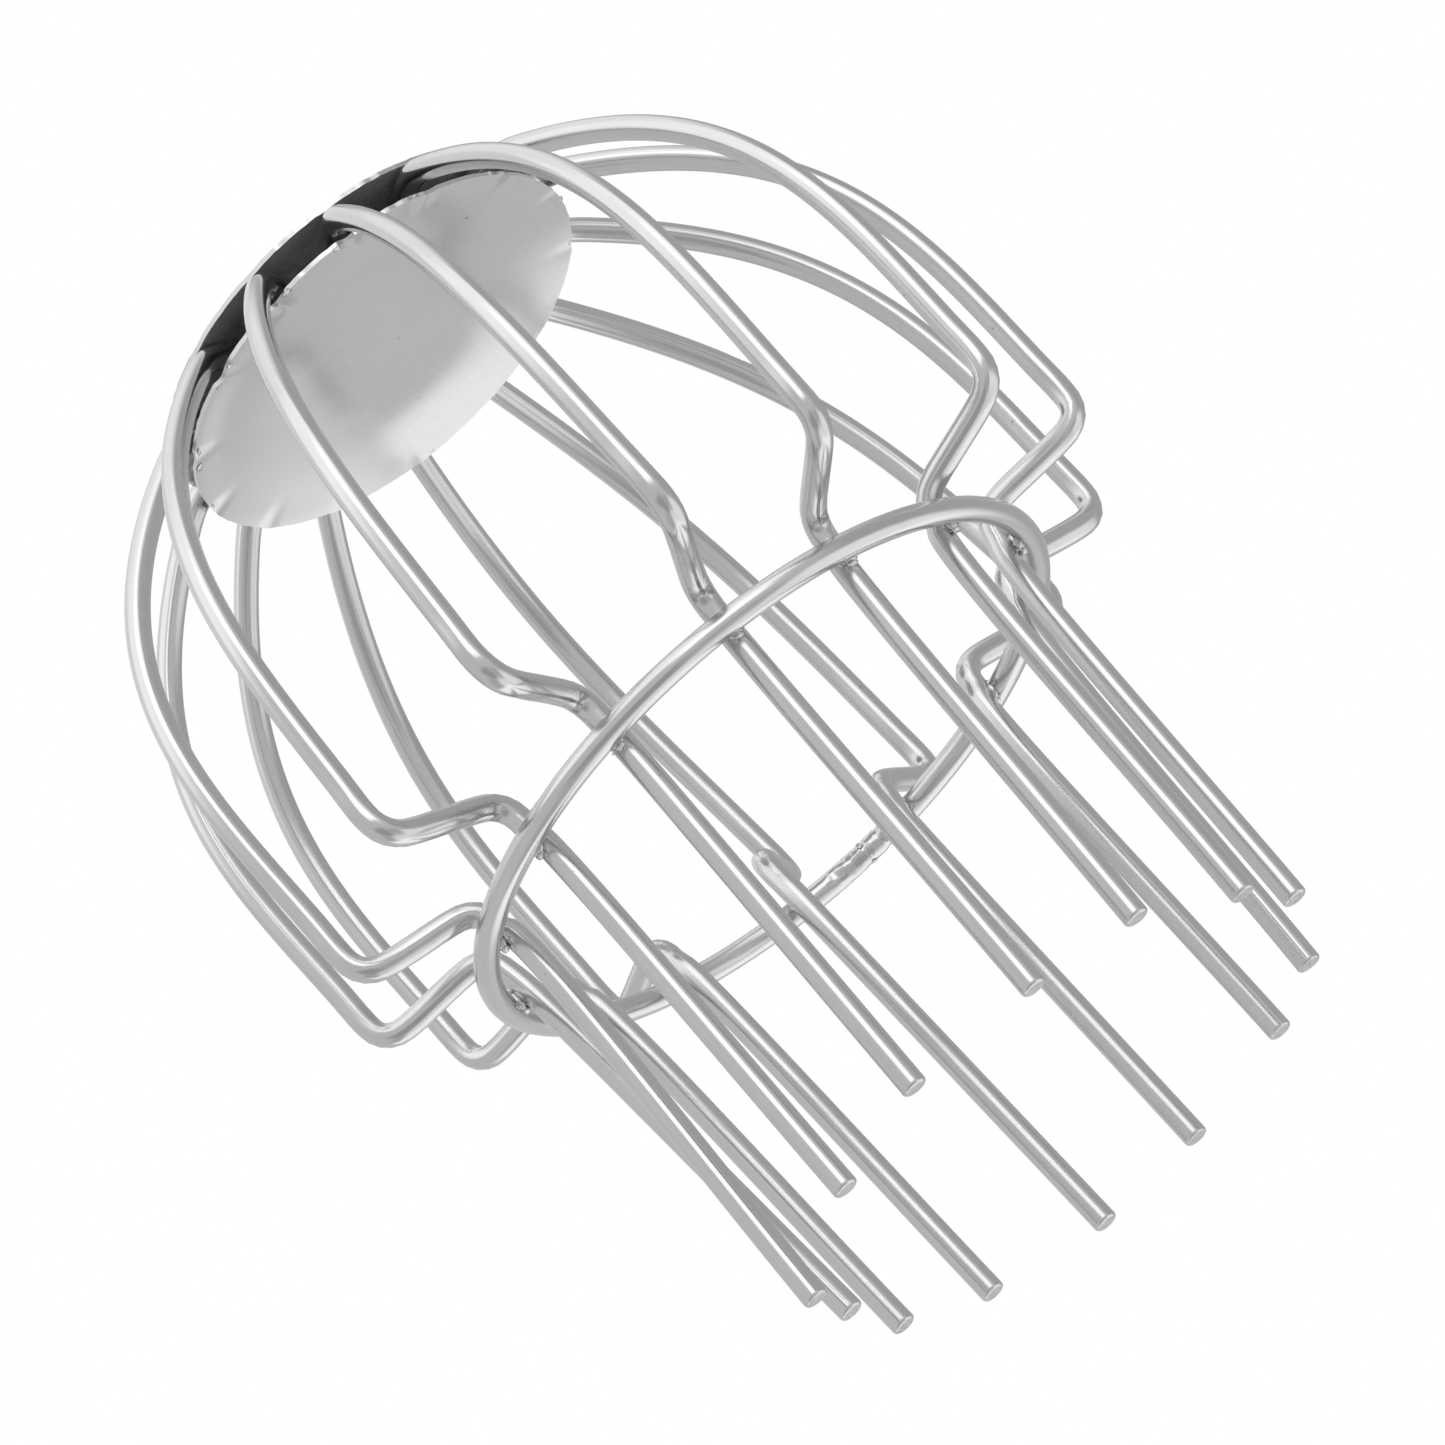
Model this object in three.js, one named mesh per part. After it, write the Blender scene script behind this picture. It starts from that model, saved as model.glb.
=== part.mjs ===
// Wire balloon strainer for a round rainwater outlet. Fourteen bent wire ribs are held at the top
// between two sheet discs and lower down by a collar ring, and end as prongs that enter the pipe.
// Millimetres, +Z up along the strainer's axis, origin on the axis at the level of the prong tips.

import * as THREE from "three";

// Wire and assembly.
const RIB_COUNT = 14;
const WIRE_DIAMETER = 2.65;
const WIRE_SIDES = 8;
const ASSEMBLY_GAP = 0.25;

// Collar ring: radius to the middle of its wire, and height above the prong tips.
const RING_RADIUS = 35.2;
const RING_HEIGHT = 48.8;
const RING_STEPS = 84;

// Prongs pass inside the ring and lean in a little towards the tips.
const PRONG_RADIUS_AT_RING = 32.1;
const PRONG_RADIUS_AT_TIP = 30.5;

// Outer corner, where the dome turns inwards, and inner corner, where the rib turns down.
const SHOULDER_RADIUS = 47.4;
const SHOULDER_HEIGHT = 54.8;
const SHOULDER_CUT = 3.4;
const INNER_CORNER_RADIUS = 32.8;
const INNER_CORNER_HEIGHT = 53.5;
const INNER_CUT = 3.2;

// Cap: the ribs lie flat between the discs, then bend down over the rim into the dome.
const CAP_MIDDLE_HEIGHT = 115.1;
const RIB_END_RADIUS = 13;
const CAP_FLAT_RADIUS = 21.5;
const CAP_BEND_RADIUS = 8.5;
const DOME_START_SLOPE = THREE.MathUtils.degToRad(35.5);
const DOME_START_PULL = 30;
const DOME_END_PULL = 21;
const DISC_RADIUS = 24.2;
const DISC_SHEET = 0.5;
const DISC_SEGMENTS = 64;
const DISC_RIM_STEPS = 3;

// Bead of squeezed-out metal where a rib is welded to the ring.
const BEAD_RADIUS = 0.7;
const BEAD_STRETCH = 1.5;

// The ribs are bent by hand, so each differs a little from the drawing. Twists are in degrees round
// the axis, at the cap, the shoulder, the inner corner and the tip. The rest is in millimetres:
// wider and higher move the shoulder, dip lowers the inner corner, splay moves the tip outwards,
// and short is how much the prong was cut under full length.
const HAND_BENDS = [
  { cap: 1.5, shoulder: 1.5, inner: 1, tip: -1.5, higher: 1.5, dip: -0.5, short: 2.75 },
  { cap: -1, shoulder: -3, inner: -0.5, tip: -3.5, higher: 0.5, dip: -0.5, splay: -0.5, short: 2.75 },
  { cap: 2, shoulder: 0.5, inner: -1, tip: -0.5, higher: -0.5, dip: 1, splay: -1.5, short: 1.25 },
  { shoulder: 1, inner: 1.5, tip: 1, higher: -1, splay: -1, short: 1.75 },
  { cap: 2, shoulder: 1.5, inner: -3.5, tip: 1.5, wider: 0.5, higher: -1.5, dip: 1, splay: -1 },
  { cap: 2.75, shoulder: -4.5, inner: -1, tip: -1.5, wider: 1, higher: -1, dip: 0.5 },
  { cap: 1.5, shoulder: -1, inner: 2, tip: 1.5, higher: -1, dip: 0.5, splay: 0.5 },
  { cap: 0.25, shoulder: -3.75, inner: 1, tip: -1, wider: -0.5, higher: 1.5, dip: -2, splay: 1 },
  { cap: 1, shoulder: 1, inner: 2, tip: 0.5, wider: 0.5, higher: -0.5, short: 0.5 },
  { cap: 1, shoulder: 0.5, inner: 2, tip: -1, wider: 0.5, dip: 0.5, short: 1.25 },
  { cap: 1, inner: 1, tip: 0.5, wider: -0.5, higher: 0.5, dip: -1.5, splay: -1.5, short: 1.5 },
  { cap: 2.5, shoulder: -0.5, inner: 2.5, tip: -1, wider: -1, higher: -1, dip: 0.5, splay: 2, short: 0.5 },
  { cap: 6, inner: 2, higher: 0.5, dip: -1, splay: 1, short: 2.75 },
  { cap: 4, shoulder: -1, inner: 0.5, tip: -3, wider: -0.5, higher: 1, dip: -1, short: 3.75 },
];
const AS_DRAWN = {
  cap: 0, shoulder: 0, inner: 0, tip: 0, wider: 0, higher: 0, dip: 0, splay: 0, short: 0,
};

const RIB_PITCH = 360 / RIB_COUNT;
const FIRST_RIB_ANGLE = 270 + RIB_PITCH / 2;
const WIRE_RADIUS = WIRE_DIAMETER / 2;
const DOWN = new THREE.Vector3(0, 0, -1);

const colours = { wire: 0xc9cacc, sheet: 0xb9babd, weld: 0x9b9c9f };

function steel(colour, roughness) {
  return new THREE.MeshStandardMaterial({ color: colour, roughness, metalness: 1 });
}

function polar(radius, degrees, height) {
  const angle = THREE.MathUtils.degToRad(degrees);
  return new THREE.Vector3(radius * Math.cos(angle), radius * Math.sin(angle), height);
}

// A polyline with one section at each of its points, square to the bend there. The last section is
// square to the given end direction, so a prong has a level tip.
class WirePath extends THREE.Curve {
  constructor(points, endDirection) {
    super();
    this.points = points;
    this.endDirection = endDirection;
  }

  getPoint(t, target = new THREE.Vector3()) {
    const place = t * (this.points.length - 1);
    const index = Math.min(Math.floor(place), this.points.length - 2);
    return target.lerpVectors(this.points[index], this.points[index + 1], place - index);
  }

  getTangent(t, target = new THREE.Vector3()) {
    const last = this.points.length - 1;
    const index = Math.round(t * last);
    if (index === last) {
      return target.copy(this.endDirection);
    }
    target.subVectors(this.points[index + 1], this.points[index]).normalize();
    if (index > 0) {
      target.add(this.points[index].clone().sub(this.points[index - 1]).normalize());
    }
    return target.normalize();
  }

  getUtoTmapping(u) {
    return u;
  }
}

// The wire's section: a polygon with the area of the round wire.
function wireSection() {
  const turn = (2 * Math.PI) / WIRE_SIDES;
  const radius = WIRE_RADIUS * Math.sqrt(turn / Math.sin(turn));
  const corners = [];
  for (let i = 0; i < WIRE_SIDES; i += 1) {
    corners.push(new THREE.Vector2(radius * Math.cos(i * turn), radius * Math.sin(i * turn)));
  }
  return new THREE.Shape(corners);
}

function bentWire(points) {
  return new THREE.ExtrudeGeometry(wireSection(), {
    steps: points.length - 1,
    extrudePath: new WirePath(points, DOWN),
  });
}

// Points round a corner, from the cut before it to the same cut after it.
function roundedCorner(before, corner, after, cut, steps) {
  const start = before.clone().sub(corner).setLength(cut).add(corner);
  const end = after.clone().sub(corner).setLength(cut).add(corner);
  return new THREE.QuadraticBezierCurve3(start, corner, end).getPoints(steps);
}

// The dome's side profile as radius and height, from the end of the cap bend to the shoulder.
function domeProfile(bend) {
  const startRadius = CAP_FLAT_RADIUS + CAP_BEND_RADIUS * Math.sin(DOME_START_SLOPE);
  const startHeight = CAP_MIDDLE_HEIGHT - CAP_BEND_RADIUS * (1 - Math.cos(DOME_START_SLOPE));
  const endRadius = SHOULDER_RADIUS + bend.wider;
  const endHeight = SHOULDER_HEIGHT + bend.higher + SHOULDER_CUT;
  return new THREE.CubicBezierCurve(
    new THREE.Vector2(startRadius, startHeight),
    new THREE.Vector2(
      startRadius + DOME_START_PULL * Math.cos(DOME_START_SLOPE),
      startHeight - DOME_START_PULL * Math.sin(DOME_START_SLOPE),
    ),
    new THREE.Vector2(endRadius, endHeight + DOME_END_PULL),
    new THREE.Vector2(endRadius, endHeight),
  );
}

// The stretch of a rib inside the cap and over its rim.
function capStretch(angle) {
  const points = [polar(RIB_END_RADIUS, angle, CAP_MIDDLE_HEIGHT)];
  const bendSteps = 4;
  for (let i = 0; i < bendSteps; i += 1) {
    const slope = (DOME_START_SLOPE * i) / bendSteps;
    const radius = CAP_FLAT_RADIUS + CAP_BEND_RADIUS * Math.sin(slope);
    const height = CAP_MIDDLE_HEIGHT - CAP_BEND_RADIUS * (1 - Math.cos(slope));
    points.push(polar(radius, angle, height));
  }
  return points;
}

function domeStretch(bend, angle) {
  const domeSteps = 14;
  return domeProfile(bend).getPoints(domeSteps).map((profilePoint, i) => {
    const twist = THREE.MathUtils.lerp(bend.cap, bend.shoulder, i / domeSteps);
    return polar(profilePoint.x, angle + twist, profilePoint.y);
  });
}

function ribPoints(bend, angle) {
  const dome = domeStretch(bend, angle);
  const shoulder = polar(
    SHOULDER_RADIUS + bend.wider, angle + bend.shoulder, SHOULDER_HEIGHT + bend.higher,
  );
  const inner = polar(INNER_CORNER_RADIUS, angle + bend.inner, INNER_CORNER_HEIGHT - bend.dip);
  const tip = polar(PRONG_RADIUS_AT_TIP + bend.splay, angle + bend.tip, bend.short);
  return [
    ...capStretch(angle + bend.cap),
    ...dome.slice(0, -1),
    ...roundedCorner(dome.at(-1), shoulder, inner, SHOULDER_CUT, 4),
    ...roundedCorner(shoulder, inner, tip, INNER_CUT, 4),
    ringCrossing(bend, angle),
    tip,
  ];
}

// The middle of the prong where it is welded to the ring.
function ringCrossing(bend, angle) {
  const share = 1 - RING_HEIGHT / INNER_CORNER_HEIGHT;
  const twist = THREE.MathUtils.lerp(bend.inner, bend.tip, share);
  return polar(PRONG_RADIUS_AT_RING, angle + twist, RING_HEIGHT);
}

// Profile of a disc at a distance above or below the middle of the ribs: flat, then turned down.
function discFace(offset) {
  const points = [new THREE.Vector2(0, CAP_MIDDLE_HEIGHT + offset)];
  const bendRadius = CAP_BEND_RADIUS + offset;
  const rimSlope = Math.asin((DISC_RADIUS - CAP_FLAT_RADIUS) / bendRadius);
  for (let i = 0; i <= DISC_RIM_STEPS; i += 1) {
    const slope = (rimSlope * i) / DISC_RIM_STEPS;
    points.push(new THREE.Vector2(
      CAP_FLAT_RADIUS + bendRadius * Math.sin(slope),
      CAP_MIDDLE_HEIGHT - CAP_BEND_RADIUS + bendRadius * Math.cos(slope),
    ));
  }
  return points;
}

function capDisc(lowerOffset) {
  const profile = [...discFace(lowerOffset), ...discFace(lowerOffset + DISC_SHEET).reverse()];
  return new THREE.LatheGeometry(profile, DISC_SEGMENTS).rotateX(Math.PI / 2);
}

// A bead sits under the ring, in the corner between the ring and the prong.
function placeBead(mesh, bend, angle) {
  const crossing = ringCrossing(bend, angle);
  const reach = WIRE_RADIUS + ASSEMBLY_GAP + BEAD_RADIUS;
  const radius = PRONG_RADIUS_AT_RING + reach;
  const drop = Math.sqrt(reach ** 2 - (RING_RADIUS - radius) ** 2);
  const direction = Math.atan2(crossing.y, crossing.x);
  mesh.position.set(radius * Math.cos(direction), radius * Math.sin(direction), RING_HEIGHT - drop);
  mesh.rotation.z = direction;
  mesh.scale.y = BEAD_STRETCH;
}

function named(name, geometry, material) {
  const mesh = new THREE.Mesh(geometry, material);
  mesh.name = name;
  return mesh;
}

const strainer = new THREE.Group();
const ribs = new THREE.Group();
const welds = new THREE.Group();
const cap = new THREE.Group();

HAND_BENDS.forEach((difference, i) => {
  const bend = { ...AS_DRAWN, ...difference };
  const angle = FIRST_RIB_ANGLE + i * RIB_PITCH;
  const number = String(i + 1).padStart(2, "0");
  ribs.add(named(`rib_${number}`, bentWire(ribPoints(bend, angle)), steel(colours.wire, 0.3)));
  const bead = named(
    `rib_weld_${number}`, new THREE.SphereGeometry(BEAD_RADIUS, 8, 6), steel(colours.weld, 0.5),
  );
  placeBead(bead, bend, angle);
  welds.add(bead);
});

const ring = named(
  "collar_ring",
  new THREE.TorusGeometry(RING_RADIUS, WIRE_RADIUS, WIRE_SIDES, RING_STEPS),
  steel(colours.wire, 0.3),
);
ring.position.z = RING_HEIGHT;

const wireToFace = WIRE_RADIUS + ASSEMBLY_GAP;
cap.add(named("cap_lower_disc", capDisc(-wireToFace - DISC_SHEET), steel(colours.sheet, 0.25)));
cap.add(named("cap_upper_disc", capDisc(wireToFace), steel(colours.sheet, 0.15)));

strainer.add(ribs, welds, ring, cap);

export default strainer;
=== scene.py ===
"""Looks for the wire balloon strainer: round drawn wire, pressed discs, welds and studio light.

Every piece takes its place from the CAD frame. Lengths are in metres, angles in degrees.
"""

import math
import random

import bmesh
import bpy
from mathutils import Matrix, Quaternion, Vector, noise


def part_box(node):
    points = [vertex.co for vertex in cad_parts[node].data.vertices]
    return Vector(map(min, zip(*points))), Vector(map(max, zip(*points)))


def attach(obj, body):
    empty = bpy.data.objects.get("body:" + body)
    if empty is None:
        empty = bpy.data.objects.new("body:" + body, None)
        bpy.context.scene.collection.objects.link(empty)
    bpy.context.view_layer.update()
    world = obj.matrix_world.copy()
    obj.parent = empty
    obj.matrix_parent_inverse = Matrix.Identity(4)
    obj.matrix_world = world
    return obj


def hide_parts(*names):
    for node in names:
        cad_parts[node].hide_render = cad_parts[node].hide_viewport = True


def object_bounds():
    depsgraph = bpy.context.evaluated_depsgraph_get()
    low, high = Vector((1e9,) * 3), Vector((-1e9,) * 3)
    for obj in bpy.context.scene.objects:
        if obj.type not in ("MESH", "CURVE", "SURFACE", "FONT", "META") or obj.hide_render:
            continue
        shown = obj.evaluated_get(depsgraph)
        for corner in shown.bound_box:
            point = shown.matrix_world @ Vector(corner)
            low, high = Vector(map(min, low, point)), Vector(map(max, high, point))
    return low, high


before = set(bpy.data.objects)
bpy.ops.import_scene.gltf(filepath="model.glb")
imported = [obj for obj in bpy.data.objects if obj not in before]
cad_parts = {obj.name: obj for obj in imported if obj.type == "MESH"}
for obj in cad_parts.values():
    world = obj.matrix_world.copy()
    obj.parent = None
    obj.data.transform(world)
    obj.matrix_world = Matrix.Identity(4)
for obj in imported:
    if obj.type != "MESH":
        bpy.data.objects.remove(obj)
cad_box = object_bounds()

MM = 0.001
BODY = "root"
RIB_COUNT = 14
RIB_PITCH = 360 / RIB_COUNT

# Camera: below the prong tips, rolled so that the cap points up and to the left.
CAMERA_PLACE = Vector((0.0215, -0.5514, -0.1757))
CAMERA_AIM = Vector((0.0, 0.0014, 0.0566))
CAMERA_ROLL = 42.3
CAMERA_LENS = 149.1
CAMERA_SENSOR = 36.0

# Studio surroundings as windows of brightness. Azimuth is 0 on the camera's side and grows
# towards +X, elevation is above the horizon, and each window has soft edges.
STUDIO_LEVEL = 0.68
STUDIO = [
    # name, azimuth from and to, elevation from and to, edge softness, brightness
    ("ceiling", -300, 300, 29, 120, 7, 0.9),
    ("front softbox", -72, 58, 27, 76, 5, 1.3),
    ("top light", -300, 300, 66, 120, 8, 1.12),
    ("key light", 5, 41, 8, 42, 6, 1.72),
    ("right flag", 62, 230, -20, 54, 7, 0.5),
    ("right bounce", 55, 165, -70, -27, 7, 1.08),
    ("camera shade", -50, 8, -60, -19, 6, 0.42),
    ("front low", 12, 50, -52, -24, 6, 0.52),
    ("left low", -120, -52, -66, -40, 7, 0.52),
    ("table glow", -300, 300, -120, -66, 7, 1.0),
    ("far table, right", 138, 300, -120, -35, 6, 1.3),
    ("far table, left", -300, -115, -120, -35, 6, 1.3),
]

# Wire. The CAD rib has these stations, counted from its end inside the cap.
WIRE_SIDES = 24
RING_SPACING = 0.9 * MM
SHOULDER_STATION = 21
INNER_STATION = 26
CROSSING_STATION = 29
STATION_COUNT = 31
TIP_ROUNDING = 0.4 * MM
TIP_SECTIONS = (1.4, 1.0, 0.72, 0.48, 0.28, 0.13, 0.04)
CUT_END_BULGE = 0.02 * MM
CUT_END_WEAR = 0.5
SHOULDER_SQUASH = 0.05
INNER_SQUASH = 0.04
SQUASH_REACH = 4 * MM

# Wear where tools worked the rib: how strong it is, and how far it reaches along the wire.
WEAR_AT_SHOULDER = (1.0, 7 * MM)
WEAR_ON_INWARD_RUN = (0.8, 8 * MM)
WEAR_AT_INNER_CORNER = (0.5, 5 * MM)
WEAR_AT_CROSSING = (0.7, 3.5 * MM)

# Collar ring, slightly out of round: lobes round the ring, and how far each swells it.
HOOP_STEPS = 840
HOOP_INSET = 0.12 * MM
HOOP_LOBES = ((2, 0.10 * MM), (3, 0.06 * MM))
HOOP_FLAT_COUNT = 8

# Butt weld that closes the ring. Distances run round the ring from the weld.
BUTT_WELD_ANGLE = 88.5
BUTT_WELD_HALF_WIDTH = 0.9 * MM
BUTT_WELD_WEAR = 0.45
BUTT_WELD_WEAR_REACH = 9 * MM
BUTT_WELD_BURRS = 11
WELD_CLAMPS = (2.0 * MM, 4.3 * MM, -1.8 * MM, -4.1 * MM)
# Cross marks: distance from the weld, and depth.
WELD_MARKS = ((0.0, 0.16 * MM), (-2.1 * MM, 0.12 * MM), (0.9 * MM, 0.07 * MM))
WELD_MARK_HALF_WIDTH = 0.5 * MM

# Beads of metal squeezed out at a crossing: half sizes round the ring, outwards and upwards.
CROSSING_BEAD = (1.05 * MM, 0.5 * MM, 1.3 * MM)
LOWER_DROP = (0.6 * MM, 0.4 * MM, 0.3 * MM)
UPPER_DROP = (0.55 * MM, 0.4 * MM, 0.3 * MM)
DROP_RISE = 1.2 * MM
CROSSING_DEPTH = 0.1 * MM
SPATTER_COUNT = 3

# Cap discs. Shares are of the disc's radius.
DISC_SHEET = 0.5 * MM
DISC_SPOKES = 24 * RIB_COUNT
DISC_RINGS = (
    0.12, 0.3, 0.45, 0.55, 0.62, 0.68, 0.74, 0.79, 0.84, 0.88, 0.91, 0.94, 0.965, 0.985, 1.0,
)
DISC_SEED = 130
DISC_FLAT_SHARE = 0.55
DISC_UNEVENNESS = 0.06 * MM
FLANGE_CURVE = 1.6
FLANGE_EXTRA_DROP = 0.5 * MM
GROOVE_HALF_WIDTH = 1.7 * MM
GROOVE_START_SHARE = 0.84
LOWER_SCALLOP = 0.38 * MM
UPPER_SCALLOP = 0.1 * MM
LOWER_DISH = 0.22 * MM
UPPER_DISH = 0.3 * MM


def lerp(a, b, t):
    return a + (b - a) * t


def smooth(t):
    """Eases 0 to 1, and holds outside."""
    t = min(max(t, 0.0), 1.0)
    return t * t * (3 - 2 * t)


def bump(x, centre, half_width):
    """1 at the centre, easing to 0 at the half width."""
    return smooth(1 - abs(x - centre) / half_width)


# ---------------------------------------------------------------- meshes


def make_piece(name, points, faces, slot, *nodes, attributes=None):
    """A smooth-shaded mesh object that rides on the body and replaces CAD nodes."""
    mesh = bpy.data.meshes.new(name)
    mesh.from_pydata([tuple(p) for p in points], [], faces)
    mesh.validate()
    for label, values in (attributes or {}).items():
        kind = "FLOAT_VECTOR" if isinstance(values[0], Vector) else "FLOAT"
        layer = mesh.attributes.new(label, kind, "POINT")
        if kind == "FLOAT_VECTOR":
            layer.data.foreach_set("vector", [c for v in values for c in v])
        else:
            layer.data.foreach_set("value", values)
    mesh.polygons.foreach_set("use_smooth", [True] * len(mesh.polygons))
    mesh.update()
    piece = bpy.data.objects.new(name, mesh)
    bpy.context.scene.collection.objects.link(piece)
    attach(piece, BODY)
    if nodes:
        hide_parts(*nodes)
    return piece


def cad_centres(node):
    """Middles of a CAD wire's rings of corners, from its end in the cap to its prong tip."""
    mesh = bmesh.new()
    mesh.from_mesh(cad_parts[node].data)
    bmesh.ops.remove_doubles(mesh, verts=mesh.verts, dist=1e-6)
    lowest = min(v.co.z for v in mesh.verts)
    front = [v for v in mesh.verts if v.co.z < lowest + 1e-5]
    seen = set(front)
    centres = []
    while front:
        centres.append(sum((v.co for v in front), Vector()) / len(front))
        following = []
        for corner in front:
            for edge in corner.link_edges:
                other = edge.other_vert(corner)
                if other not in seen:
                    seen.add(other)
                    following.append(other)
        front = following
    mesh.free()
    return centres[::-1]


def smooth_path(stations):
    """A centripetal spline through the stations, resampled evenly.

    Returns the points, the distance of each along the wire, and the distance of each station.
    """
    before = stations[0] * 2 - stations[1]
    after = stations[-1] * 2 - stations[-2]
    knots = [before, *stations, after]
    dense = []
    station_index = []
    for i in range(1, len(knots) - 2):
        steps = max(4, int((knots[i + 1] - knots[i]).length / (0.15 * MM)))
        station_index.append(len(dense))
        dense.extend(catmull(knots[i - 1:i + 3], step / steps) for step in range(steps))
    station_index.append(len(dense))
    dense.append(stations[-1].copy())
    along = [0.0]
    for a, b in zip(dense, dense[1:]):
        along.append(along[-1] + (b - a).length)
    station_at = [along[i] for i in station_index]
    return resample(dense, along), station_at


def catmull(four, t):
    """Point on the centripetal Catmull-Rom curve between the middle two of four points."""
    times = [0.0]
    for a, b in zip(four, four[1:]):
        times.append(times[-1] + math.sqrt((b - a).length))
    u = lerp(times[1], times[2], t)

    def blend(a, b, i, j):
        return a.lerp(b, (u - times[i]) / (times[j] - times[i]))

    first = blend(four[0], four[1], 0, 1)
    second = blend(four[1], four[2], 1, 2)
    third = blend(four[2], four[3], 2, 3)
    early = blend(first, second, 0, 2)
    late = blend(second, third, 1, 3)
    return blend(early, late, 1, 2)


def resample(dense, along):
    count = max(2, round(along[-1] / RING_SPACING))
    points = []
    k = 0
    for i in range(count + 1):
        wanted = along[-1] * i / count
        while k < len(along) - 2 and along[k + 1] < wanted:
            k += 1
        share = (wanted - along[k]) / (along[k + 1] - along[k])
        points.append(dense[k].lerp(dense[k + 1], share))
    return points


def carried_frames(points, first_normal, closed=False):
    """Tangent, normal and side at each point, with the normal carried along without twist."""
    frames = []
    normal = first_normal
    last = len(points) - 1
    for i, _ in enumerate(points):
        if closed:
            tangent = points[(i + 1) % len(points)] - points[i - 1]
        else:
            tangent = points[min(i + 1, last)] - points[max(i - 1, 0)]
        tangent.normalize()
        normal = (normal - tangent * normal.dot(tangent)).normalized()
        frames.append((tangent, normal, tangent.cross(normal)))
    return frames


class Flat:
    """A place where a tool pressed the wire flat: a plane that cuts off its round side."""

    def __init__(self, at, half_length, angle, depth):
        self.at = at
        self.half_length = half_length
        self.angle = angle
        self.depth = depth

    def reach(self, along, angle, radius):
        """How far the surface may stand out from the middle in this direction."""
        depth = self.depth * bump(along, self.at, self.half_length)
        facing = math.cos(math.radians(angle - self.angle))
        if depth <= 0 or facing <= 0:
            return radius
        return min(radius, (radius - depth) / facing)


def bend_flats(station_at, dice):
    """Marks that the bending tools left on a rib, round its two corners and between them."""
    shoulder = station_at[SHOULDER_STATION]
    inner = station_at[INNER_STATION]

    def pressed(at, half_length, spread, depths):
        """A flat that faces some way within the spread, with a depth between the two given."""
        return Flat(at, half_length, dice.uniform(-spread, spread), dice.uniform(*depths) * MM)

    flats = [
        pressed(shoulder - 2.6 * MM, half_length=3.0 * MM, spread=60, depths=(0.04, 0.08)),
        pressed(shoulder + 0.4 * MM, half_length=2.6 * MM, spread=45, depths=(0.06, 0.12)),
        Flat(shoulder + 0.5 * MM, 2.4 * MM, angle=180 + dice.uniform(-15, 15), depth=0.12 * MM),
        pressed(inner - 0.8 * MM, half_length=2.8 * MM, spread=60, depths=(0.03, 0.07)),
        pressed(inner + 1.6 * MM, half_length=2.0 * MM, spread=80, depths=(0.03, 0.06)),
    ]
    for share in (0.3, 0.65):
        at = lerp(shoulder, inner, share + dice.uniform(-0.1, 0.1))
        half_length = dice.uniform(1.0, 2.6) * MM
        flats.append(pressed(at, half_length, spread=75, depths=(0.03, 0.08)))
    for _ in range(4):
        flats.append(Flat(
            lerp(0.15, 0.95, dice.random()) * shoulder, dice.uniform(0.8, 2.4) * MM,
            dice.uniform(0, 360), dice.uniform(0.02, 0.05) * MM,
        ))
    return flats


def wire_rings(points, frames, radius_at):
    """Corner points of a wire's sections, and each corner's place on the straightened wire."""
    corners = []
    straight = []
    distance = 0.0
    for i, (point, (_, normal, side)) in enumerate(zip(points, frames)):
        if i:
            distance += (point - points[i - 1]).length
        for k in range(WIRE_SIDES):
            angle = 360 * k / WIRE_SIDES
            turn = math.radians(angle)
            radius = radius_at(distance, angle)
            corners.append(point + (normal * math.cos(turn) + side * math.sin(turn)) * radius)
            straight.append(Vector((radius * math.cos(turn), radius * math.sin(turn), distance)))
    return corners, straight


def ring_faces(count, closed=False):
    faces = []
    for i in range(count if closed else count - 1):
        here = i * WIRE_SIDES
        there = (i + 1) % count * WIRE_SIDES
        for k in range(WIRE_SIDES):
            right = (k + 1) % WIRE_SIDES
            faces.append((here + k, here + right, there + right, there + k))
    return faces


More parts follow.
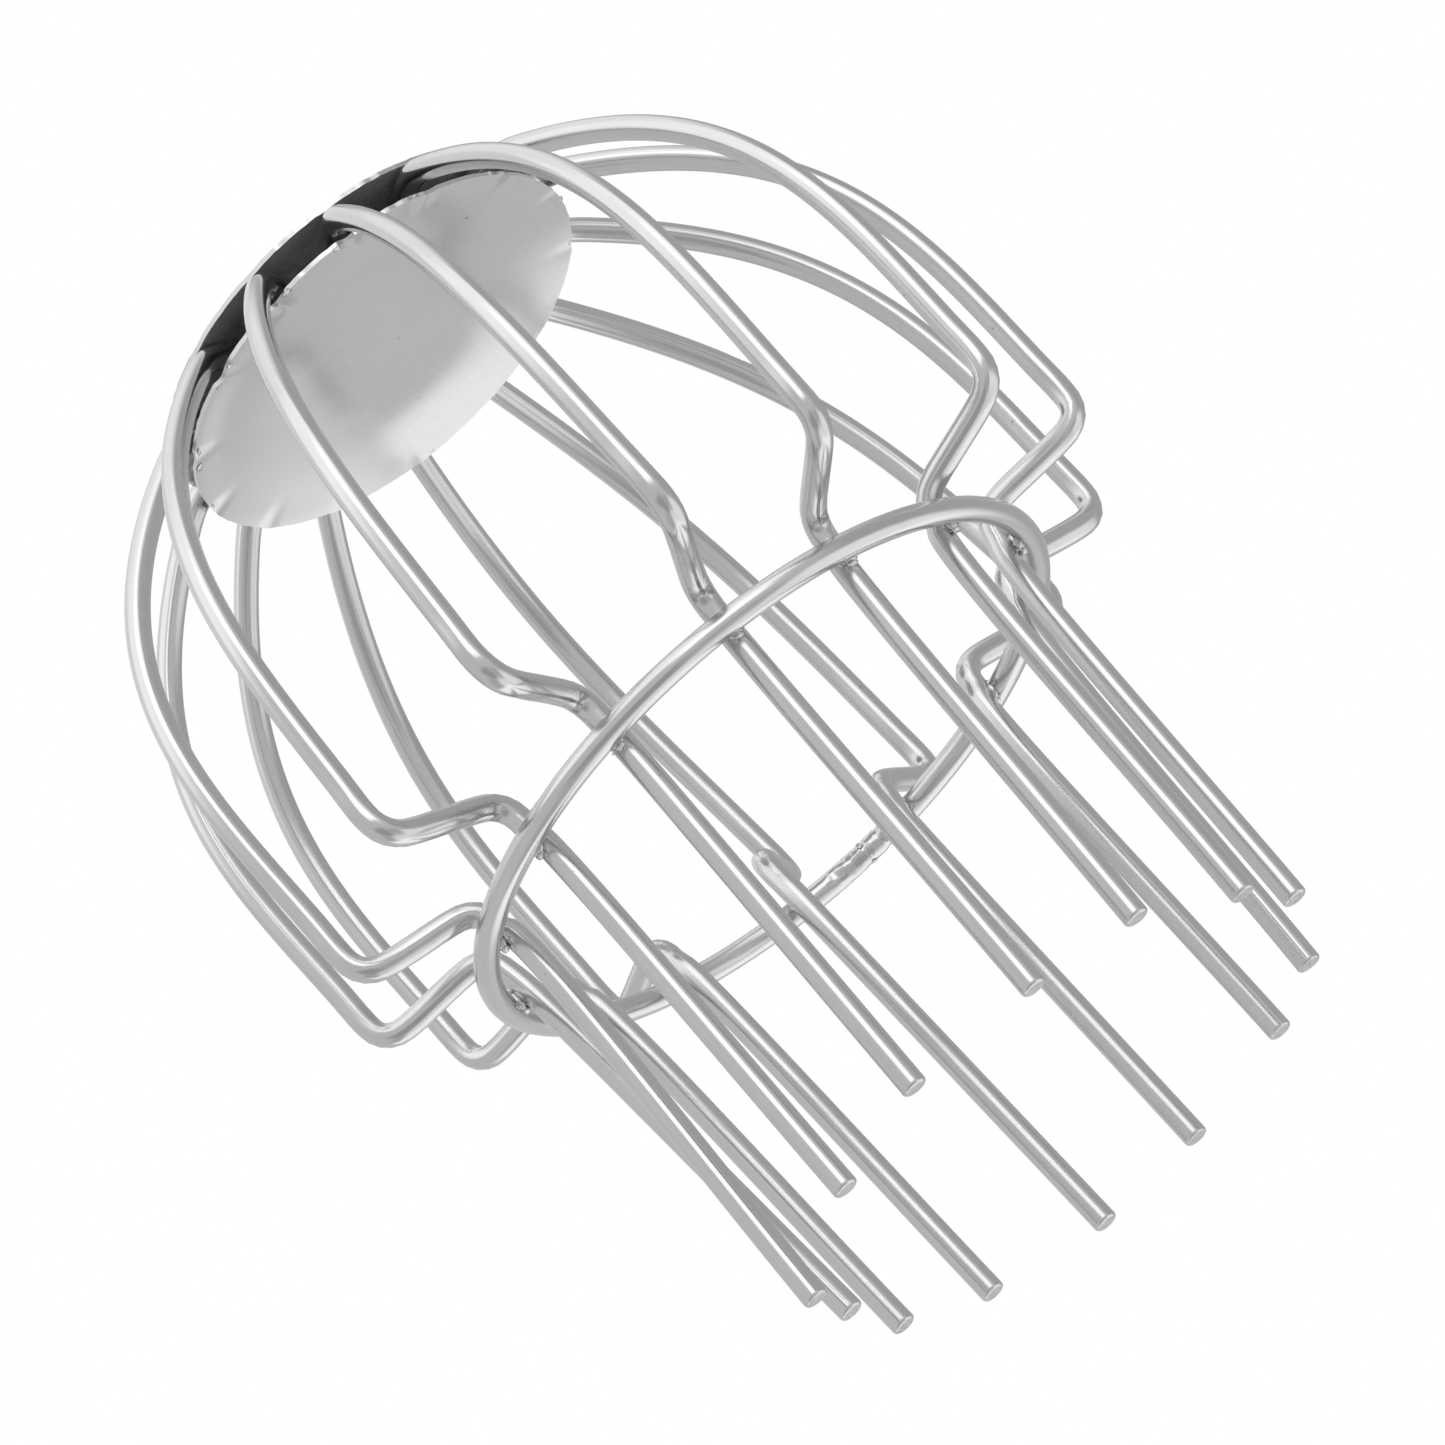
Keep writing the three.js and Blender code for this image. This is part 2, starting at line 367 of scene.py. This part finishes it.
def build_rib(number):
    """One rib: a smooth wire along the CAD rib, with tool marks and a sheared, rounded tip."""
    node = f"rib_{number:02d}"
    dice = random.Random(100 + number)
    stations = cad_centres(node)
    if len(stations) != STATION_COUNT:
        raise ValueError(f"{node} has {len(stations)} stations")
    points, station_at = smooth_path(stations)
    length = station_at[-1]
    frames = carried_frames(points, Vector((0, 0, 1)))
    flats = bend_flats(station_at, dice)
    shoulder = station_at[SHOULDER_STATION]
    inner = station_at[INNER_STATION]
    crossing = station_at[CROSSING_STATION]

    def radius_at(along, angle):
        radius = WIRE_RADIUS
        squash = SHOULDER_SQUASH * bump(along, shoulder, SQUASH_REACH)
        squash += INNER_SQUASH * bump(along, inner, SQUASH_REACH)
        radius *= 1 - squash * math.cos(2 * math.radians(angle))
        for flat in flats:
            if abs(along - flat.at) < flat.half_length:
                radius = flat.reach(along, angle, radius)
        into_rounding = along - (length - TIP_ROUNDING)
        if into_rounding > 0:
            rise = min(into_rounding / TIP_ROUNDING, 1.0)
            radius -= TIP_ROUNDING * (1 - math.sqrt(1 - rise ** 2))
        return radius

    # The rounded tip needs closely spaced sections of its own.
    tangent = frames[-1][0]
    tip = points.pop()
    for share in TIP_SECTIONS:
        points.append(tip - tangent * share * TIP_ROUNDING)
        frames.insert(-1, frames[-1])
    points.append(tip)
    corners, straight = wire_rings(points, frames, radius_at)
    faces = ring_faces(len(points))
    worked_places = (
        (shoulder, *WEAR_AT_SHOULDER),
        ((shoulder + inner) / 2, *WEAR_ON_INWARD_RUN),
        (inner, *WEAR_AT_INNER_CORNER),
        (crossing, *WEAR_AT_CROSSING),
    )
    worked = []
    for place in straight:
        worked.append(max(
            strength * bump(place.z, at, reach) for at, strength, reach in worked_places
        ))
    cut_end = [0.0] * len(corners)

    # Flat ends: a fan round a middle point, on its own corners so that its edge stays crisp.
    for end, outward in ((0, -1), (len(points) - 1, 1)):
        rim = range(end * WIRE_SIDES, (end + 1) * WIRE_SIDES)
        start = len(corners)
        for k in rim:
            corners.append(corners[k].copy())
            straight.append(straight[k].copy())
            worked.append(CUT_END_WEAR)
            cut_end.append(1.0)
        middle = points[end] + frames[end][0] * outward * CUT_END_BULGE
        corners.append(middle)
        straight.append(Vector((0, 0, straight[rim[0]].z)))
        worked.append(CUT_END_WEAR)
        cut_end.append(1.0)
        for k in range(WIRE_SIDES):
            right = (k + 1) % WIRE_SIDES
            fan = (start + k, start + right, start + WIRE_SIDES)
            faces.append(fan if outward > 0 else fan[::-1])
    return make_piece(
        f"wire_{node}", corners, faces, "wire", node,
        attributes={"straight": straight, "worked": worked, "cut_end": cut_end},
    )


# ---------------------------------------------------------------- ring and welds


def build_hoop():
    """The collar ring, a little out of round, with its butt weld on the far side."""
    dice = random.Random(7)
    lobes = [(count, size, dice.uniform(0, 360)) for count, size in HOOP_LOBES]
    points = []
    for i in range(HOOP_STEPS):
        angle = BUTT_WELD_ANGLE + 360 * i / HOOP_STEPS
        turn = math.radians(angle)
        swell = sum(
            size * math.cos(math.radians(count * angle + phase)) for count, size, phase in lobes
        )
        radius = HOOP_RADIUS + swell
        points.append(Vector((radius * math.cos(turn), radius * math.sin(turn), RING_HEIGHT)))
    outward = points[0].copy()
    outward.z = 0
    frames = carried_frames(points, outward.normalized(), closed=True)
    girth = 2 * math.pi * HOOP_RADIUS
    flats = []
    for _ in range(HOOP_FLAT_COUNT):
        at = dice.uniform(0.05, 0.95) * girth
        flats.append(Flat(at, half_length=2 * MM, angle=dice.uniform(0, 360), depth=0.04 * MM))
    for clamp in WELD_CLAMPS:
        at = clamp % girth
        flats.append(Flat(at, 1.3 * MM, angle=dice.uniform(195, 215), depth=0.2 * MM))
        flats.append(Flat(at, 1.8 * MM, angle=dice.uniform(150, 165), depth=0.22 * MM))
        flats.append(Flat(at, 1.4 * MM, angle=dice.uniform(105, 120), depth=0.14 * MM))

    def radius_at(along, angle):
        from_weld = min(along, girth - along)
        radius = WIRE_RADIUS
        turn = math.radians(angle)
        place = Vector((math.cos(turn), math.sin(turn), from_weld / MM))
        upset = bump(from_weld, 0, BUTT_WELD_HALF_WIDTH)
        radius += upset * (0.03 + 0.1 * noise.noise(place * 1.6)) * MM
        signed = along if along < girth / 2 else along - girth
        for mark_at, depth in WELD_MARKS:
            radius -= depth * bump(signed, mark_at, WELD_MARK_HALF_WIDTH)
        for flat in flats:
            if abs(along - flat.at) < flat.half_length:
                radius = flat.reach(along, angle, radius)
        return radius

    corners, straight = wire_rings(points, frames, radius_at)
    worked = []
    for place in straight:
        from_weld = min(place.z, girth - place.z)
        worked.append(BUTT_WELD_WEAR * bump(from_weld, 0, BUTT_WELD_WEAR_REACH))
    return make_piece(
        "collar_hoop", corners, ring_faces(len(points), closed=True), "wire", "collar_ring",
        attributes={"straight": straight, "worked": worked, "cut_end": [0.0] * len(corners)},
    )


def blob(points, faces, centre, axes, sizes, roughness, seed, rows=9, columns=14):
    """Adds a lump of melted metal: a closed ball with uneven sides, on the given half sizes."""
    start = len(points)
    shift = Vector((seed * 3.1, seed * 1.7, seed * 0.9))

    def surface(direction):
        swell = 1 + roughness * noise.noise(direction * 1.6 + shift)
        swell += 0.4 * roughness * noise.noise(direction * 4.5 + shift)
        place = Vector()
        for axis, size, part in zip(axes, sizes, direction):
            place += axis * (size * part * swell)
        return centre + place

    points.append(surface(Vector((0, 0, 1))))
    for i in range(1, rows):
        fall = math.pi * i / rows
        for j in range(columns):
            turn = 2 * math.pi * j / columns
            points.append(surface(Vector((
                math.sin(fall) * math.cos(turn), math.sin(fall) * math.sin(turn), math.cos(fall),
            ))))
    points.append(surface(Vector((0, 0, -1))))
    last = len(points) - 1
    for j in range(columns):
        right = (j + 1) % columns
        faces.append((start, start + 1 + j, start + 1 + right))
        low = last - columns
        faces.append((last, low + right, low + j))
        for i in range(rows - 2):
            here = start + 1 + i * columns
            there = here + columns
            faces.append((here + j, there + j, there + right, here + right))


def build_rib_weld(number):
    """Metal squeezed out between a prong and the collar ring, with a little spatter round it."""
    node = f"rib_weld_{number:02d}"
    dice = random.Random(500 + number)
    low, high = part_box(node)
    bead = (low + high) / 2
    outward = Vector((bead.x, bead.y, 0)).normalized()
    up = Vector((0, 0, 1))
    around = up.cross(outward)
    contact = outward * (HOOP_RADIUS - WIRE_RADIUS - CROSSING_DEPTH) + up * RING_HEIGHT
    points = []
    faces = []
    axes = (around, outward, up)
    blob(points, faces, contact, axes, CROSSING_BEAD, 0.15, dice.uniform(0, 50))
    low_drop = contact - up * DROP_RISE + around * dice.uniform(-0.3, 0.3) * MM
    blob(points, faces, low_drop, axes, LOWER_DROP, 0.3, dice.uniform(0, 50))
    high_drop = contact + up * DROP_RISE + around * dice.uniform(-0.4, 0.4) * MM
    blob(points, faces, high_drop, axes, UPPER_DROP, 0.3, dice.uniform(0, 50))
    for _ in range(SPATTER_COUNT):
        side = dice.choice((-1, 1))
        place = contact + around * side * dice.uniform(0.8, 1.2) * MM
        place += up * dice.uniform(-1.3, 1.3) * MM + outward * dice.uniform(-0.5, 0.0) * MM
        size = dice.uniform(0.1, 0.17) * MM
        blob(points, faces, place, axes, (size, size, size), 0.3, dice.uniform(0, 50), 6, 8)
    return make_piece(f"weld_{number:02d}", points, faces, "weld_metal", node)


def build_butt_weld():
    """Burrs of melted metal round the joint that closes the ring."""
    dice = random.Random(77)
    turn = math.radians(BUTT_WELD_ANGLE)
    outward = Vector((math.cos(turn), math.sin(turn), 0))
    up = Vector((0, 0, 1))
    around = up.cross(outward)
    centre = outward * HOOP_RADIUS + up * RING_HEIGHT
    points = []
    faces = []
    for i in range(BUTT_WELD_BURRS):
        angle = 2 * math.pi * (i + dice.uniform(-0.3, 0.3)) / BUTT_WELD_BURRS
        away = outward * math.cos(angle) + up * math.sin(angle)
        place = centre + away * WIRE_RADIUS + around * dice.uniform(-0.5, 0.5) * MM
        size = dice.uniform(0.12, 0.24) * MM
        axes = (around, away, around.cross(away))
        sizes = (1.3 * size, 0.6 * size, 1.4 * size)
        blob(points, faces, place, axes, sizes, 0.5, dice.uniform(0, 50), 7, 10)
    return make_piece("ring_butt_weld", points, faces, "weld_metal")


# ---------------------------------------------------------------- cap


def build_disc(name, node, scallop, dish, extra_drop, ribs_above):
    """A pressed sheet disc. Its rim is grooved over each rib and springs up between them.

    The attribute "inside" is 1 on the skin that faces the ribs.
    """
    low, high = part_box(node)
    radius = (high.x - low.x) / 2
    flat = radius * DISC_FLAT_SHARE
    drop = (high.z - low.z) - DISC_SHEET + extra_drop
    rib_angles = sorted(RIB_ANGLES)
    dice = random.Random(DISC_SEED)
    spring = []
    for angle in rib_angles:
        turn = math.radians(angle + RIB_PITCH / 2)
        near_side = 0.5 - 0.38 * math.sin(turn) - 0.22 * math.cos(turn)
        spring.append(max(near_side, 0.0) * dice.uniform(0.8, 1.2))

    def between_ribs(angle):
        """0 along a rib, rising to 1 where the rim is free of it, and the gap's number."""
        for i, start in enumerate(rib_angles):
            end = rib_angles[(i + 1) % RIB_COUNT]
            span = (end - start) % 360
            share = ((angle - start) % 360) / span
            if share < 1:
                clear = math.radians(min(share, 1 - share) * span) * radius
                arch = lerp(0.75, 1.0, math.sin(math.pi * share))
                return arch * smooth(clear / GROOVE_HALF_WIDTH), i
        return 0.0, 0

    def height(share, angle):
        reach = share * radius
        slope = max(0.0, (reach - flat) / (radius - flat))
        level = -drop * slope ** FLANGE_CURVE
        arch, gap = between_ribs(angle)
        near_rim = smooth((share - GROOVE_START_SHARE) / (1 - GROOVE_START_SHARE))
        level += scallop * spring[gap] * arch * near_rim
        turn = math.radians(angle)
        place = Vector((math.cos(turn), math.sin(turn), 0)) * share
        level += dish * (1 - share ** 2)
        level += DISC_UNEVENNESS * noise.noise(place * 2.3 + Vector((0, 0, dish * 1e4)))
        return level

    points = []
    faces = []
    skins = []
    for top in (True, False):
        base = high.z if top else high.z - DISC_SHEET
        skins.append(len(points))
        points.append(Vector((0, 0, base + height(0, 0))))
        for share in DISC_RINGS:
            for k in range(DISC_SPOKES):
                angle = 360 * k / DISC_SPOKES
                edge = 1
                if share == 1:
                    edge += 0.004 * noise.noise(Vector((angle * 0.4, 0, 0)))
                    edge += 0.003 * noise.noise(Vector((angle * 1.3, 5, 0)))
                reach = share * radius * edge
                turn = math.radians(angle)
                points.append(Vector((
                    reach * math.cos(turn), reach * math.sin(turn), base + height(share, angle),
                )))
    for skin, top in zip(skins, (True, False)):
        for k in range(DISC_SPOKES):
            right = (k + 1) % DISC_SPOKES
            face = (skin, skin + 1 + k, skin + 1 + right)
            faces.append(face if top else face[::-1])
            for ring in range(len(DISC_RINGS) - 1):
                here = skin + 1 + ring * DISC_SPOKES
                there = here + DISC_SPOKES
                face = (here + k, there + k, there + right, here + right)
                faces.append(face if top else face[::-1])
    # The sheared edge, on its own corners so that it stays crisp.
    skin_size = skins[1]
    edges = []
    for skin in skins:
        rim = skin + 1 + (len(DISC_RINGS) - 1) * DISC_SPOKES
        edges.append(len(points))
        points.extend([points[rim + k].copy() for k in range(DISC_SPOKES)])
    for k in range(DISC_SPOKES):
        right = (k + 1) % DISC_SPOKES
        faces.append((edges[0] + k, edges[1] + k, edges[1] + right, edges[0] + right))
    rim_count = len(points) - 2 * skin_size
    inside = [float(ribs_above)] * skin_size + [float(not ribs_above)] * skin_size
    return make_piece(
        name, points, faces, "cap_sheet", node, attributes={"inside": inside + [0.0] * rim_count},
    )


def build_rim_chips():
    """Chips of metal torn up on both sides of each rib, where it leaves the lower disc's rim."""
    low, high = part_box("cap_lower_disc")
    rim = (high.x - low.x) / 2
    dice = random.Random(311)
    up = Vector((0, 0, 1))
    points = []
    faces = []
    for angle in RIB_ANGLES:
        for side in (-1, 1):
            turn = math.radians(angle) + side * dice.uniform(1.0, 1.8) * MM / rim
            outward = Vector((math.cos(turn), math.sin(turn), 0))
            around = up.cross(outward)
            place = outward * (rim - dice.uniform(-0.1, 0.5) * MM)
            place.z = low.z + dice.uniform(-0.35, 0.05) * MM
            sizes = (
                dice.uniform(0.25, 0.6) * MM,
                dice.uniform(0.2, 0.4) * MM,
                dice.uniform(0.12, 0.25) * MM,
            )
            blob(points, faces, place, (around, outward, up), sizes, 0.8, dice.uniform(0, 50), 7, 10)
    return make_piece("rim_chips", points, faces, "weld_metal")


# ---------------------------------------------------------------- materials


class Nodes:
    """Short calls for building a node tree."""

    def __init__(self, tree):
        self.tree = tree
        tree.nodes.clear()

    def add(self, kind, inputs=None, **settings):
        node = self.tree.nodes.new(kind)
        for key, value in settings.items():
            setattr(node, key, value)
        for key, value in (inputs or {}).items():
            if isinstance(value, bpy.types.NodeSocket):
                self.tree.links.new(value, node.inputs[key])
            else:
                node.inputs[key].default_value = value
        return node

    def math(self, operation, a, b=0.0, clamp=False):
        node = self.add("ShaderNodeMath", {0: a, 1: b}, operation=operation, use_clamp=clamp)
        return node.outputs[0]

    def ramp(self, value, low, high, to_low=0.0, to_high=1.0, kind="SMOOTHSTEP"):
        """Maps low..high to to_low..to_high, holding outside."""
        inputs = {
            "Value": value, "From Min": low, "From Max": high, "To Min": to_low, "To Max": to_high,
        }
        return self.add("ShaderNodeMapRange", inputs, interpolation_type=kind).outputs["Result"]

    def noise(self, vector, scale, detail=3.0, roughness=0.55):
        node = self.add(
            "ShaderNodeTexNoise",
            {"Vector": vector, "Scale": scale, "Detail": detail, "Roughness": roughness},
        )
        return node.outputs["Fac"]

    def stretched(self, vector, scale):
        node = self.add("ShaderNodeVectorMath", {0: vector, 1: scale}, operation="MULTIPLY")
        return node.outputs[0]

    def grey(self, value):
        node = self.add("ShaderNodeCombineColor", {"Red": value, "Green": value, "Blue": value})
        return node.outputs[0]

    def mix(self, share, a, b):
        node = self.add("ShaderNodeMix", {"Factor": share, "A": a, "B": b}, data_type="FLOAT")
        return node.outputs["Result"]


def new_material(name):
    material = bpy.data.materials.new(name)
    material.use_nodes = True
    return material, Nodes(material.node_tree)


def finish_metal(nodes, brightness, roughness, relief, relief_height):
    """A metal surface from a grey level, a roughness and a height."""
    lift = nodes.add("ShaderNodeBump", {
        "Height": relief, "Distance": relief_height, "Strength": 1.0,
    })
    shader = nodes.add("ShaderNodeBsdfPrincipled", {
        "Base Color": nodes.grey(brightness), "Metallic": 1.0, "Roughness": roughness,
        "Normal": lift.outputs["Normal"],
    })
    nodes.add("ShaderNodeOutputMaterial", {"Surface": shader.outputs["BSDF"]})


def wire_material():
    """Drawn stainless wire: lengthwise die lines, cloudy sheen, light wear where tools worked it."""
    material, nodes = new_material("drawn_wire")
    straight = nodes.add("ShaderNodeAttribute", attribute_name="straight").outputs["Vector"]
    worked = nodes.add("ShaderNodeAttribute", attribute_name="worked").outputs["Fac"]
    cut = nodes.add("ShaderNodeAttribute", attribute_name="cut_end").outputs["Fac"]
    lines = nodes.noise(nodes.stretched(straight, (1, 1, 0.02)), 4200.0, 2.0)
    broad_lines = nodes.noise(nodes.stretched(straight, (1, 1, 0.03)), 1500.0, 2.0)
    clouds = nodes.noise(straight, 160.0, 4.0)
    wear = nodes.noise(nodes.stretched(straight, (1, 1, 0.4)), 520.0, 2.0, 0.5)
    specks = nodes.ramp(nodes.noise(straight, 1500.0, 1.0), 0.78, 0.82)
    smudge = nodes.math("MULTIPLY", nodes.ramp(wear, 0.55, 0.72), worked)
    shear = nodes.noise(nodes.stretched(straight, (1, 0.15, 1)), 5200.0, 3.0)

    tone = nodes.mix(clouds, 0.62, 0.67)
    tone = nodes.math("ADD", tone, nodes.ramp(broad_lines, 0.3, 0.7, -0.012, 0.012))
    tone = nodes.mix(nodes.math("MULTIPLY", smudge, 0.5), tone, 0.42)
    tone = nodes.mix(nodes.math("MULTIPLY", specks, 0.6), tone, 0.35)
    tone = nodes.mix(cut, tone, nodes.ramp(shear, 0.3, 0.7, 0.5, 0.72))
    rough = nodes.mix(clouds, 0.15, 0.21)
    rough = nodes.math("ADD", rough, nodes.ramp(lines, 0.3, 0.7, -0.02, 0.03))
    rough = nodes.mix(nodes.math("MULTIPLY", smudge, 0.6), rough, 0.3)
    rough = nodes.mix(cut, rough, 0.3)
    relief = nodes.math("MULTIPLY", lines, 0.2)
    relief = nodes.math("ADD", relief, nodes.math("MULTIPLY", broad_lines, 0.4))
    dents = nodes.math("MULTIPLY", wear, nodes.math("MULTIPLY", worked, 1.1))
    relief = nodes.math("ADD", relief, dents)
    shear_relief = nodes.math("MULTIPLY", nodes.math("MULTIPLY", shear, cut), 4.0)
    relief = nodes.math("ADD", relief, shear_relief)
    finish_metal(nodes, tone, rough, relief, 0.005 * MM)
    return material


def sheet_material():
    """Polished stainless sheet with a few pits, rougher and painted lighter at one side, and duller
    between the discs.
    """
    material, nodes = new_material("polished_sheet")
    place = nodes.add("ShaderNodeTexCoord").outputs["Object"]
    inside = nodes.add("ShaderNodeAttribute", attribute_name="inside").outputs["Fac"]
    clouds = nodes.noise(place, 90.0, 4.0)
    grain = nodes.noise(nodes.stretched(place, (1, 0.08, 1)), 3000.0, 3.0, 0.6)
    pits = nodes.ramp(nodes.noise(place, 800.0, 1.0), 0.77, 0.81)
    tint = nodes.ramp(nodes.noise(place, 260.0, 3.0), 0.4, 0.62)
    tone = nodes.mix(clouds, 0.6, 0.63)
    tone = nodes.math("ADD", tone, nodes.ramp(grain, 0.3, 0.7, -0.01, 0.01))
    tone = nodes.mix(nodes.math("MULTIPLY", pits, 0.6), tone, 0.3)
    # Painted light: towards -X the tone is lifted to 0.66, a painted brighter reflection on that
    # side of the disc; the higher roughness there is a real duller finish.
    sideways = nodes.add("ShaderNodeSeparateXYZ", {0: place}).outputs["X"]
    uneven = nodes.ramp(clouds, 0.3, 0.7, -1.5 * MM, 1.5 * MM)
    duller_and_painted_bright = nodes.math("ADD", sideways, uneven)
    duller_and_painted_bright = nodes.ramp(duller_and_painted_bright, -4.5 * MM, -10.5 * MM)
    tone = nodes.mix(duller_and_painted_bright, tone, 0.66)
    tone = nodes.mix(inside, tone, nodes.mix(tint, 0.6, 0.95))
    rough = nodes.mix(clouds, 0.15, 0.18)
    rough = nodes.mix(duller_and_painted_bright, rough, 0.28)
    rough = nodes.mix(inside, rough, nodes.mix(tint, 0.55, 0.4))
    pitting = nodes.math("MULTIPLY", pits, -2.0)
    relief = nodes.math("ADD", nodes.math("MULTIPLY", grain, 0.3), pitting)
    finish_metal(nodes, tone, rough, relief, 0.002 * MM)
    return material


def weld_material():
    """Melted metal with a thin dark film in places."""
    material, nodes = new_material("weld_metal")
    place = nodes.add("ShaderNodeTexCoord").outputs["Object"]
    scale = nodes.noise(place, 1400.0, 3.0, 0.5)
    film = nodes.noise(place, 500.0, 3.0)
    tone = nodes.mix(nodes.ramp(scale, 0.35, 0.65), 0.6, 0.74)
    tone = nodes.mix(nodes.ramp(film, 0.6, 0.78), tone, 0.46)
    rough = nodes.ramp(scale, 0.3, 0.7, 0.2, 0.32)
    finish_metal(nodes, tone, rough, scale, 0.005 * MM)
    return material


def floor_material():
    """Pale matt floor, seen only from above. It is clear from below, where the camera is."""
    material, nodes = new_material("pale_floor")
    place = nodes.add("ShaderNodeTexCoord").outputs["Object"]
    tone = nodes.ramp(nodes.noise(place, 14.0, 4.0), 0.3, 0.7, 0.7, 0.715)
    matt = nodes.add("ShaderNodeBsdfDiffuse", {"Color": nodes.grey(tone)})
    clear = nodes.add("ShaderNodeBsdfTransparent")
    below = nodes.add("ShaderNodeNewGeometry").outputs["Backfacing"]
    sides = {0: below, 1: matt.outputs[0], 2: clear.outputs[0]}
    both = nodes.add("ShaderNodeMixShader", sides)
    nodes.add("ShaderNodeOutputMaterial", {"Surface": both.outputs[0]})
    return material


# ---------------------------------------------------------------- studio


def build_floor():
    half = 3.0
    mesh = bpy.data.meshes.new("floor")
    corners = [(-half, -half, 0), (half, -half, 0), (half, half, 0), (-half, half, 0)]
    mesh.from_pydata(corners, [], [(0, 1, 2, 3)])
    mesh.materials.append(floor_material())
    floor = bpy.data.objects.new("floor", mesh)
    floor.location.z = cad_box[0].z
    floor.visible_glossy = False
    floor.visible_shadow = False
    bpy.context.scene.collection.objects.link(floor)


def build_surroundings():
    """White to the camera, and soft windows of light and shade to everything else."""
    world = bpy.data.worlds.new("studio")
    bpy.context.scene.world = world
    world.use_nodes = True
    nodes = Nodes(world.node_tree)
    direction = nodes.add("ShaderNodeTexCoord").outputs["Generated"]
    parts = nodes.add("ShaderNodeSeparateXYZ", {0: direction})
    forward = nodes.math("MULTIPLY", parts.outputs["Y"], -1.0)
    azimuth = nodes.math("DEGREES", nodes.math("ARCTAN2", parts.outputs["X"], forward))
    elevation = nodes.math("DEGREES", nodes.math("ARCSINE", parts.outputs["Z"]))
    level = STUDIO_LEVEL
    for _, left, right, bottom, top, edge, brightness in STUDIO:
        window = nodes.ramp(azimuth, left - edge, left + edge)
        window = nodes.math("MULTIPLY", window, nodes.ramp(azimuth, right + edge, right - edge))
        window = nodes.math("MULTIPLY", window, nodes.ramp(elevation, bottom - edge, bottom + edge))
        window = nodes.math("MULTIPLY", window, nodes.ramp(elevation, top + edge, top - edge))
        level = nodes.mix(window, level, brightness)
    studio = nodes.add("ShaderNodeBackground", {"Color": (1, 1, 1, 1), "Strength": level})
    white = nodes.add("ShaderNodeBackground", {"Color": (1, 1, 1, 1), "Strength": 1.0})
    seen = nodes.add("ShaderNodeLightPath").outputs["Is Camera Ray"]
    either = nodes.add("ShaderNodeMixShader", {0: seen, 1: studio.outputs[0], 2: white.outputs[0]})
    nodes.add("ShaderNodeOutputWorld", {"Surface": either.outputs[0]})


def build_lamp():
    """A broad soft lamp overhead, which gives the floor its soft shadow."""
    lamp = bpy.data.lights.new("overhead", "AREA")
    lamp.shape = "DISK"
    lamp.size = 0.5
    lamp.energy = 3.0
    holder = bpy.data.objects.new("overhead", lamp)
    holder.location = (0.25, -0.35, 0.8)
    toward = Vector((0, 0, 0.05)) - holder.location
    holder.rotation_mode = "QUATERNION"
    holder.rotation_quaternion = toward.to_track_quat("-Z", "Y")
    holder.visible_glossy = False
    holder.visible_camera = False
    bpy.context.scene.collection.objects.link(holder)


def build_camera():
    camera = bpy.data.cameras.new("camera")
    camera.lens = CAMERA_LENS
    camera.sensor_width = CAMERA_SENSOR
    camera.clip_start = 0.01
    camera.clip_end = 20.0
    holder = bpy.data.objects.new("camera", camera)
    holder.location = CAMERA_PLACE
    level = (CAMERA_AIM - CAMERA_PLACE).to_track_quat("-Z", "Y")
    roll = Quaternion((0, 0, 1), math.radians(-CAMERA_ROLL))
    holder.rotation_mode = "QUATERNION"
    holder.rotation_quaternion = level @ roll
    bpy.context.scene.collection.objects.link(holder)
    bpy.context.scene.camera = holder


# ---------------------------------------------------------------- build

RING_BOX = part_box("collar_ring")
WIRE_RADIUS = (RING_BOX[1].z - RING_BOX[0].z) / 2
RING_HEIGHT = (RING_BOX[0].z + RING_BOX[1].z) / 2
HOOP_RADIUS = RING_BOX[1].x - WIRE_RADIUS - HOOP_INSET

wire = wire_material()
sheet = sheet_material()
weld = weld_material()

RIB_ANGLES = []
for rib_number in range(1, RIB_COUNT + 1):
    rib_end = cad_centres(f"rib_{rib_number:02d}")[4]
    RIB_ANGLES.append(math.degrees(math.atan2(rib_end.y, rib_end.x)) % 360)
    build_rib(rib_number).data.materials.append(wire)
    build_rib_weld(rib_number).data.materials.append(weld)
build_hoop().data.materials.append(wire)
build_butt_weld().data.materials.append(weld)
build_rim_chips().data.materials.append(weld)
lower_disc = build_disc(
    "lower_disc", "cap_lower_disc", LOWER_SCALLOP, LOWER_DISH, FLANGE_EXTRA_DROP, ribs_above=True,
)
lower_disc.data.materials.append(sheet)
upper_disc = build_disc(
    "upper_disc", "cap_upper_disc", UPPER_SCALLOP, UPPER_DISH, 0.0, ribs_above=False,
)
upper_disc.data.materials.append(sheet)

build_floor()
build_surroundings()
build_lamp()
build_camera()
bpy.context.scene.view_settings.view_transform = "Standard"
